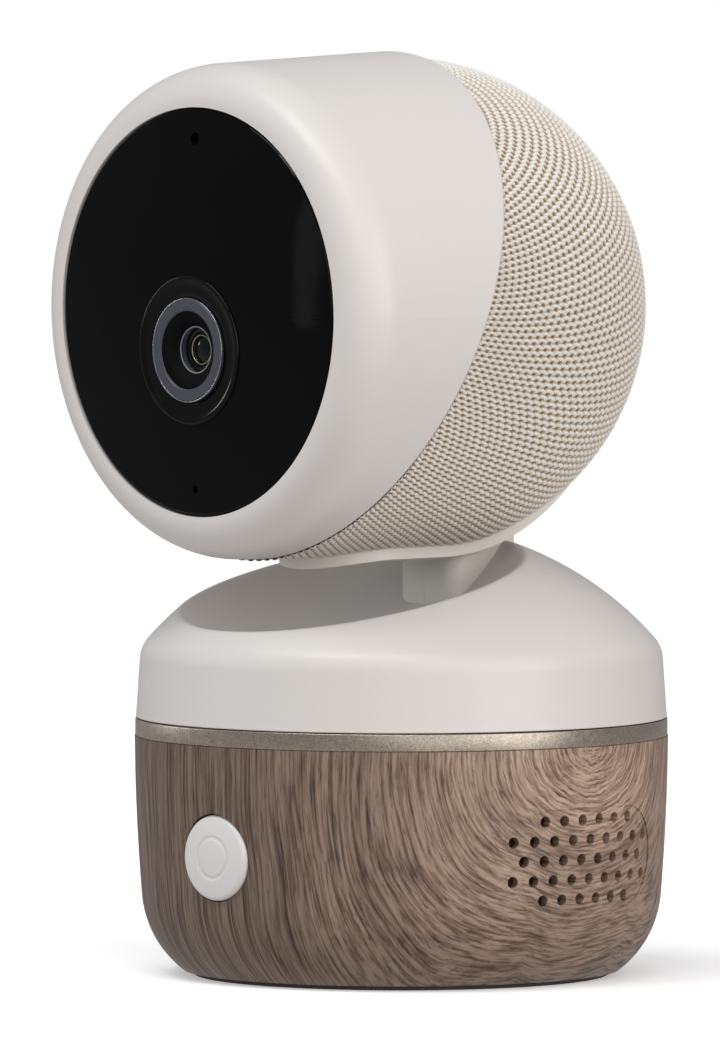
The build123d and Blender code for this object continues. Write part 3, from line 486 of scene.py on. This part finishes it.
def cover_profile():
    """Outline of the cover from its foot to near the axis: side, shoulder arc and crown, all tangent."""
    outward = np.array([math.cos(COVER_LEAN), math.sin(COVER_LEAN)])
    upward = np.array([-math.sin(COVER_LEAN), math.cos(COVER_LEAN)])
    crown_centre = np.array([0.0, COVER_APEX_Z - CROWN_R])
    foot = np.array([COVER_FOOT_R, COVER_FOOT_Z])
    lead = foot - outward * BEND_R - crown_centre
    along = lead @ upward
    climb = math.sqrt(along**2 - lead @ lead + (CROWN_R - BEND_R) ** 2) - along
    bend_centre = crown_centre + lead + upward * climb
    reach = bend_centre - crown_centre
    crown_angle = math.atan2(reach[1], reach[0])
    lip = arc((COVER_FOOT_R - FOOT_ROUND, COVER_FOOT_Z + FOOT_ROUND), FOOT_ROUND, -math.pi / 2, 0.0, 5)
    side = [tuple(p) for p in np.linspace(foot + upward * FOOT_ROUND * 1.5, foot + upward * climb, 24)]
    bend = arc(bend_centre, BEND_R, COVER_LEAN, crown_angle, 30)[1:]
    crown = arc(crown_centre, CROWN_R, crown_angle, math.pi / 2, 140)[1:-1]
    return lip + side + bend + crown


def cover_skin(count):
    """Rings of the cover's skin from its foot to near the centre, as an array of rings, angles, xyz."""
    profile = np.array(cover_profile())
    radius, height = profile[:, 0], profile[:, 1]
    angle = np.linspace(0, 2 * math.pi, count, endpoint=False)
    x = radius[:, None] * np.cos(angle)
    y = radius[:, None] * np.sin(angle)
    away = x**2 + (y - BOWL_Y) ** 2
    inside = away < BOWL_R**2
    bowl = np.where(inside, BOWL_Z - np.sqrt(np.where(inside, BOWL_R**2 - away, 0.0)), NO_BOWL_Z)
    dome = np.broadcast_to(height[:, None], x.shape)
    return np.stack([x, y, smooth_least(dome, bowl, BOWL_LIP)], -1)


def build_cover():
    """Turning cover: a dome with a bowl scooped out of it, as one skin with a wall behind it."""
    count = 720
    skin = cover_skin(count)
    quads, index = ring_quads(len(skin), count)
    obj = mesh_object("cover_shell", turned_to_rest(skin.reshape(-1, 3)), quads, "pale_plastic")
    cap(obj, [index[-1]])
    thick = obj.modifiers.new("wall", "SOLIDIFY")
    thick.thickness = COVER_WALL * MM
    thick.offset = -1.0
    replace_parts(obj, "top_cover")
    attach(obj, "turntable")


# ---------------------------------------------------------------- knitted cover
def knit_relief(u, v):
    """Height of the yarn, 0 at the bottom of a hole and 1 on a crest, from stitch counts."""
    roundness, valley, dip, cross_share = 0.75, 0.25, 0.62, 0.16
    off_u, off_v = u - np.round(u), v - np.round(v)
    ridge = np.sin(math.pi * np.abs(off_u)) ** roundness
    cross = np.sin(math.pi * np.abs(off_v)) ** roundness
    along = (off_u + off_v) / 2 * STITCH_LONG / HOLE_HALF_LONG
    up = ((off_u - off_v) / 2 * STITCH_WIDE - HOLE_RISE) / HOLE_HALF_WIDE
    hole = np.exp(-(along**2 + up**2) ** 1.5)
    puff = valley + (1 - valley) * ridge * (1 - cross_share + cross_share * cross)
    return np.clip(puff - dip * hole, 0, 1)


def knit_frame():
    """Unit vectors of the flat cloth's centre and its two directions, in side, nose, up."""
    yaw, pitch = KNIT_POLE_YAW, KNIT_POLE_PITCH
    pole = np.array([math.sin(yaw) * math.cos(pitch), -math.cos(yaw) * math.cos(pitch), math.sin(pitch)])
    side = np.cross([0.0, 0.0, 1.0], pole)
    side /= np.linalg.norm(side)
    return pole, side, np.cross(pole, side)


def knit_grid(steps):
    """Stitch counts u and v over the flat cloth, and each vertex's flat place in millimetres."""
    cells = int(KNIT_REACH / (STITCH_WIDE / 2))
    ticks = np.arange(-cells * steps, cells * steps + 1) / steps
    u, v = np.meshgrid(ticks, ticks, indexing="ij")
    p = (u + v) / 2 * STITCH_LONG
    q = (u - v) / 2 * STITCH_WIDE
    c, s = math.cos(KNIT_TURN), math.sin(KNIT_TURN)
    return u, v, c * p - s * q, s * p + c * q


def knit_form(direction):
    """Normal of the form and place along the nose, for directions from the ball's centre.

    Behind the pivot the form is a ball, and ahead of it a cylinder of the same radius.
    """
    from_rear = np.arccos(np.clip(-direction[..., 1], -1, 1))
    ahead = from_rear > math.pi / 2
    level = np.maximum(np.hypot(direction[..., 0], direction[..., 2]), 1e-9)
    sideways = np.stack([direction[..., 0] / level, np.zeros_like(level), direction[..., 2] / level], -1)
    normal = np.where(ahead[..., None], sideways, direction)
    nose = np.where(ahead, (from_rear - math.pi / 2) * KNIT_R, direction[..., 1] * KNIT_R)
    return normal, nose


def in_slot(side, nose, up):
    """Whether places on the form are in the slot for the neck: a straight run with two round ends."""
    bottom_run = np.where(nose > 0, nose, -KNIT_R * np.arctan2(-nose, -up))
    run_start = -KNIT_R * SLOT_REAR
    straight = (np.abs(side) < SLOT_HALF) & (bottom_run < SLOT_TIP_S) & (bottom_run > run_start)
    tip = np.hypot(side, nose - SLOT_TIP_S) < SLOT_HALF
    rear_nose, rear_up = -KNIT_R * math.sin(SLOT_REAR), -KNIT_R * math.cos(SLOT_REAR)
    tail = np.sqrt(side**2 + (nose - rear_nose) ** 2 + (up - rear_up) ** 2) < SLOT_HALF
    return ((straight | tip) & (up < 0)) | tail


def quad_corners(grid):
    """The values at the four corners of each quad of a grid."""
    return grid[:-1, :-1], grid[1:, :-1], grid[1:, 1:], grid[:-1, 1:]


def build_knit():
    """Fabric of the head: stitches laid out on a flat cloth, which is then wrapped round the form."""
    steps = 8
    u, v, flat_side, flat_up = knit_grid(steps)
    rho = np.hypot(flat_side, flat_up)
    theta = rho / KNIT_R
    safe = np.maximum(rho, 1e-9)
    pole, side_way, up_way = knit_frame()
    direction = (np.cos(theta)[..., None] * pole
                 + (np.sin(theta) * flat_side / safe)[..., None] * side_way
                 + (np.sin(theta) * flat_up / safe)[..., None] * up_way)
    normal, nose = knit_form(direction)
    side, up = normal[..., 0] * KNIT_R, normal[..., 2] * KNIT_R

    edge = PARTING_S - PARTING_SLOPE * up
    off_cloth = (rho > KNIT_REACH) | (theta > KNIT_ROUND) | in_slot(side, nose, up)
    outside = np.logical_and.reduce(quad_corners(off_cloth | (nose > edge)))
    too_far = np.logical_or.reduce(quad_corners(off_cloth | (nose > edge + PARTING_SPARE)))
    kept = ~outside & ~too_far

    # vertices just past the front edge are drawn back onto it, so that the edge is clean
    lift = (knit_relief(u, v) - 1.0) * KNIT_DEPTH
    place = np.stack([side, np.minimum(nose, edge), up], -1) + normal * lift[..., None]
    quads = np.stack(quad_corners(np.arange(u.size).reshape(u.shape)), -1)[kept]
    used = np.unique(quads)
    renumber = np.full(u.size, -1)
    renumber[used] = np.arange(len(used))
    side, nose, up = place.reshape(-1, 3)[used].T
    world = np.stack([side, PIVOT_Y - nose, PIVOT_Z + up], 1)
    obj = mesh_object("knit_cover", turned_to_rest(world), renumber[quads], "fabric")
    for name, values in (("knit_u", u), ("knit_v", v)):
        attribute = obj.data.attributes.new(name, "FLOAT", "POINT")
        attribute.data.foreach_set("value", values.ravel()[used].astype(np.float32))
    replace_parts(obj, "fabric_cover")
    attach(obj, "head")


# ---------------------------------------------------------------- turned pieces
def lathe(name, profile, count, slot_name, place, shape=None):
    """Surface turned about local Z from (radius, height) points: closed on the axis, or a closed ring."""
    on_axis = profile[0][0] == 0.0
    rings = profile[1:-1] if on_axis else profile
    angle = np.linspace(0, 2 * math.pi, count, endpoint=False)
    vertices = np.concatenate([np.stack((r * np.cos(angle), r * np.sin(angle), np.full(count, h)), 1)
                               for r, h in rings])
    total = len(rings)
    quads, index = ring_quads(total, count, closed=not on_axis)
    if on_axis:
        vertices = np.concatenate([vertices, [(0, 0, profile[0][1]), (0, 0, profile[-1][1])]])
    if shape is not None:
        vertices = shape(vertices)
    ends = []
    if on_axis:
        centres = ((index[0], total * count), (index[-1], total * count + 1))
        ends = [(i, j, centre) for ring, centre in centres for i, j in zip(ring, np.roll(ring, -1))]
    obj = mesh_object(name, vertices, quads, slot_name)
    cap(obj, ends)
    obj.data.transform(place)
    return obj


def round_bar(radius, height, thick, count=16):
    """Profile of a ring of round section."""
    return [(radius + thick * math.cos(t), height + thick * math.sin(t))
            for t in np.linspace(0, 2 * math.pi, count, endpoint=False)]


def build_band():
    """Metal band between the base and the cover, with its edges broken."""
    low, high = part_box("accent_band")
    bottom, top = low.z / MM, high.z / MM
    edge_r = high.x / MM - BAND_EDGE
    profile = [(BAND_INNER_R, bottom), (BAND_INNER_R, top)]
    profile += arc((edge_r, top - BAND_EDGE), BAND_EDGE, math.pi / 2, 0.0, 6)
    profile += arc((edge_r, bottom + BAND_EDGE), BAND_EDGE, 0.0, -math.pi / 2, 6)
    obj = lathe("band_ring", profile, 720, "champagne_metal", Matrix())
    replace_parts(obj, "accent_band")
    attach(obj, "base")


# ---------------------------------------------------------------- lens
HEAD = (Matrix.Rotation(REST_PAN, 4, "Z")
        @ Matrix(((1, 0, 0, 0), (0, 0, -1, PIVOT_Y * MM), (0, 1, 0, PIVOT_Z * MM), (0, 0, 0, 1))))
ON_LENS = HEAD @ Matrix.Translation((0.0, LENS_H * MM, 0.0))


def on_window(vertices):
    """Lets a piece that is round about the lens follow the window's dome."""
    x, y = vertices[:, 0], vertices[:, 1]
    fall = WINDOW_DOME * (x**2 + (y + LENS_H) ** 2) / WINDOW_R**2
    vertices[:, 2] += WINDOW_RIM_S + WINDOW_DOME - fall
    return vertices


def lens_piece(name, profile, count, slot_name, look, shape=None):
    """Turned piece round the lens. It is dressed first in its slot's material, and then in the finer
    material that look names.
    """
    piece = lathe(name, profile, count, slot_name, ON_LENS, shape)
    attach(piece, "head")
    piece.data.materials[0] = MATERIALS[look]
    return piece


def build_lens():
    """Pieces of the lens. Profiles are in radius and distance forward, which for the collar starts at
    the window's face."""
    collar = [(12.42, -0.4), (12.42, 0.05), (12.38, 0.24), (12.28, 0.35), (12.12, 0.40), (11.85, 0.36),
              (11.5, 0.27), (11.1, 0.16), (10.6, 0.09), (9.9, 0.06), (9.0, 0.05), (8.85, -0.05),
              (8.85, -0.5)]
    baffle = [(6.48, 47.05), (6.48, 45.05), (4.0, 45.05), (4.0, 45.25), (5.2, 45.9)]
    dome_r, dome_s, dome_fall = 2.2, 44.30, 0.11
    front = [(0.0, dome_s)]
    front += [(r, dome_s - dome_fall * r * r) for r in np.linspace(0.15, dome_r, 12)]
    front += [(2.35, 43.66), (2.6, 43.60), (2.75, 43.78), (2.9, 43.62), (3.3, 43.80), (3.75, 44.02),
              (3.8, 43.95), (3.8, 43.0), (0.0, 43.0)]
    lens_piece("lens_collar", collar, 192, "black_gloss", "collar_gloss", on_window)
    lens_piece("lens_baffle", baffle, 128, "black_plastic", "baffle_black")
    lens_piece("lens_rim", round_bar(3.86, 45.12, 0.13), 128, "dark_satin", "rim_satin")
    lens_piece("lens_spacer", round_bar(2.42, 43.86, 0.11), 96, "steel", "spacer_brass")
    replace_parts(lens_piece("lens_front", front, 96, "lens_glass", "lens_glass"), "lens_glass")
    lens_piece("bezel_edge", round_bar(8.60, 47.10, 0.13), 192, "dark_satin", "edge_gloss")


# ---------------------------------------------------------------- button
def build_button():
    """Domed button with a plain ring pressed into its face, which stands for the printed mark."""
    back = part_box("button_cap")[1].y / MM
    length = back - BUTTON_FACE_Y
    flat_r = BUTTON_R - BUTTON_RIM
    corner = length - BUTTON_RISE - BUTTON_RIM
    ring_r, ring_half, ring_depth = 3.4, 0.28, 0.16

    def face(r):
        crown = length - BUTTON_RISE * (r / flat_r) ** 2
        return crown - ring_depth * math.exp(-(((r - ring_r) / ring_half) ** 2))

    profile = [(0.0, face(0.0))]
    profile += [(r, face(r)) for r in np.linspace(0.2, flat_r, 46)]
    profile += [(flat_r + BUTTON_RIM * math.sin(t), corner + BUTTON_RIM * math.cos(t))
                for t in np.linspace(0.15, math.pi / 2, 10)]
    profile += [(BUTTON_R, FLANGE_THICK), (BUTTON_R + BUTTON_FLANGE, FLANGE_THICK),
                (BUTTON_R + BUTTON_FLANGE, 0.0), (0.0, 0.0)]
    place = Matrix(((1, 0, 0, 0), (0, 0, -1, back * MM), (0, 1, 0, BUTTON_Z * MM), (0, 0, 0, 1)))
    obj = lathe("button_face", profile, 128, "button_plastic", place)
    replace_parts(obj, "button_cap")
    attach(obj, "button")


# ---------------------------------------------------------------- stage, light and camera
def build_stage():
    """Pale floor that takes shadows. It throws no light up, as the object was lit from above and beside."""
    bm = bmesh.new()
    bmesh.ops.create_grid(bm, x_segments=8, y_segments=8, size=FLOOR_HALF)
    data = bpy.data.meshes.new("floor")
    bm.to_mesh(data)
    bm.free()
    floor = bpy.data.objects.new("floor", data)
    bpy.context.scene.collection.objects.link(floor)
    s = Shader("floor")
    s.surface(Base_Color=s.blend(s.noise(s.place(), 3.0), (0.93, 0.93, 0.935), (0.95, 0.95, 0.955)))
    s.surface(Roughness=0.9, Specular_IOR_Level=0.1, Emission_Color=(1, 1, 1, 1), Emission_Strength=0.30)
    # its underside is clear, so that the object can be seen from below
    s.surface(Alpha=s.maths("SUBTRACT", 1.0, s.node("NewGeometry").outputs["Backfacing"]))
    floor.data.materials.append(s.material)
    floor.visible_diffuse = False
    floor.visible_glossy = False


def sky(azimuth, elevation):
    """Unit vector to a place in the sky. Azimuth 0 is in front (-Y), and 90 is on the +X side."""
    a, e = math.radians(azimuth), math.radians(elevation)
    return Vector((math.sin(a) * math.cos(e), -math.cos(a) * math.cos(e), math.sin(e)))


def lamp(name, data, away, roll=0.0):
    """Puts up a light that shines from the given direction."""
    obj = bpy.data.objects.new(name, data)
    obj.rotation_mode = "QUATERNION"
    obj.rotation_quaternion = away.to_track_quat("Z", "Y") @ Quaternion((0, 0, 1), math.radians(roll))
    bpy.context.scene.collection.objects.link(obj)
    return obj


def softbox(name, azimuth, elevation, distance, width, height, power, target=(0.0, 0.0, 0.075), roll=0.0):
    """Area light at a distance from its target, which it faces."""
    away = sky(azimuth, elevation)
    data = bpy.data.lights.new(name, "AREA")
    data.shape = "RECTANGLE"
    data.size, data.size_y = width, height
    data.energy = power
    obj = lamp(name, data, away, roll)
    obj.location = Vector(target) + away * distance
    return obj


def sun(name, azimuth, elevation, strength, spread, colour=(1.0, 1.0, 1.0), mirrored=True):
    """Broad light from far away, so that the whole floor is lit evenly."""
    data = bpy.data.lights.new(name, "SUN")
    data.energy = strength
    data.angle = math.radians(spread)
    data.color = colour
    lamp(name, data, sky(azimuth, elevation)).visible_glossy = mirrored


def build_world():
    """Grey studio: paler below, where the floor would throw light up, and darkest at eye level."""
    world = bpy.data.worlds.new("studio")
    bpy.context.scene.world = world
    world.use_nodes = True
    tree = world.node_tree
    place = tree.nodes.new("ShaderNodeTexCoord")
    apart = tree.nodes.new("ShaderNodeSeparateXYZ")
    half = tree.nodes.new("ShaderNodeMath")
    half.operation = "MULTIPLY_ADD"
    half.inputs[1].default_value = half.inputs[2].default_value = 0.5
    ramp = tree.nodes.new("ShaderNodeValToRGB")
    points = ramp.color_ramp.elements
    points[0].position, points[1].position = 0.50, 0.85
    points[0].color = (0.36, 0.352, 0.365, 1)
    points[1].color = (0.50, 0.50, 0.51, 1)
    points.new(0.30).color = (0.74, 0.71, 0.69, 1)      # made last, because it goes in before the others
    tree.links.new(place.outputs["Generated"], apart.inputs[0])
    tree.links.new(apart.outputs["Z"], half.inputs[0])
    tree.links.new(half.outputs[0], ramp.inputs[0])
    background = tree.nodes["Background"]
    tree.links.new(ramp.outputs[0], background.inputs["Color"])
    background.inputs["Strength"].default_value = 0.80


def build_light():
    lens_place, window_place = (0.0, -0.045, 0.107), (0.0, -0.045, 0.113)
    # suns: azimuth, elevation, strength, width in degrees, colour
    # softboxes: azimuth, elevation, distance, width, height, power, target
    sun("sun_top", -25, 66, 0.60, 26, (1.0, 0.995, 0.985))
    softbox("softbox_top", 24, 60, 1.5, 0.9, 0.24, 5.4)
    sun("sun_front", 62, 20, 1.02, 60, (1.0, 0.985, 0.965))
    sun("sun_right", 98, 10, 0.90, 40, (1.0, 0.98, 0.95))
    sun("sun_left", -48, 14, 0.95, 50, (0.88, 0.95, 1.0), mirrored=False)
    softbox("strip_light", -39.5, 2, 1.4, 0.05, 0.24, 0.025, window_place)
    window_light = softbox("window_light", -70, 8.5, 1.5, 0.17, 0.62, 3.0, lens_place, roll=-55)
    softbox("softbox_right", 105, 25, 1.5, 0.8, 1.0, 1.9)
    # the window light draws the streak on the lens collar: on white plastic it would glare from the side
    glossy = bpy.data.collections.new("glossy_parts")
    for name in ("window", "lens_collar", "lens_rim", "lens_front", "bezel_edge", "band_ring"):
        glossy.objects.link(nodes.get(name) or bpy.data.objects[name])
    window_light.light_linking.receiver_collection = glossy
    bpy.context.scene.view_settings.view_transform = "Standard"


def build_camera():
    """The photograph's view: long lens, a little above the head and looking slightly down."""
    azimuth = math.radians(44.61)
    yaw = math.radians(-0.16)
    pitch = math.radians(-3.01)
    distance, height = 2.5, 0.2079
    data = bpy.data.cameras.new("camera")
    data.lens = 513.0
    data.sensor_width = 36.0
    data.clip_start, data.clip_end = 0.05, 100.0
    cam = bpy.data.objects.new("camera", data)
    cam.location = (distance * math.sin(azimuth), -distance * math.cos(azimuth), height)
    ahead = Vector((-math.sin(azimuth), math.cos(azimuth), 0.0))
    right = Vector((math.cos(azimuth), math.sin(azimuth), 0.0))
    forward = ahead * math.cos(yaw) + right * math.sin(yaw)
    forward = forward * math.cos(pitch) + Vector((0, 0, math.sin(pitch)))
    cam.rotation_mode = "QUATERNION"
    cam.rotation_quaternion = (-forward).to_track_quat("Z", "Y")
    bpy.context.scene.collection.objects.link(cam)
    bpy.context.scene.camera = cam


# ---------------------------------------------------------------- build
for part in frame["record"]["subparts"]:
    dress(nodes[part["node"]], part["material_slot"])
build_cover()
build_knit()
build_lens()
build_band()
build_button()
build_stage()
build_world()
build_light()
build_camera()
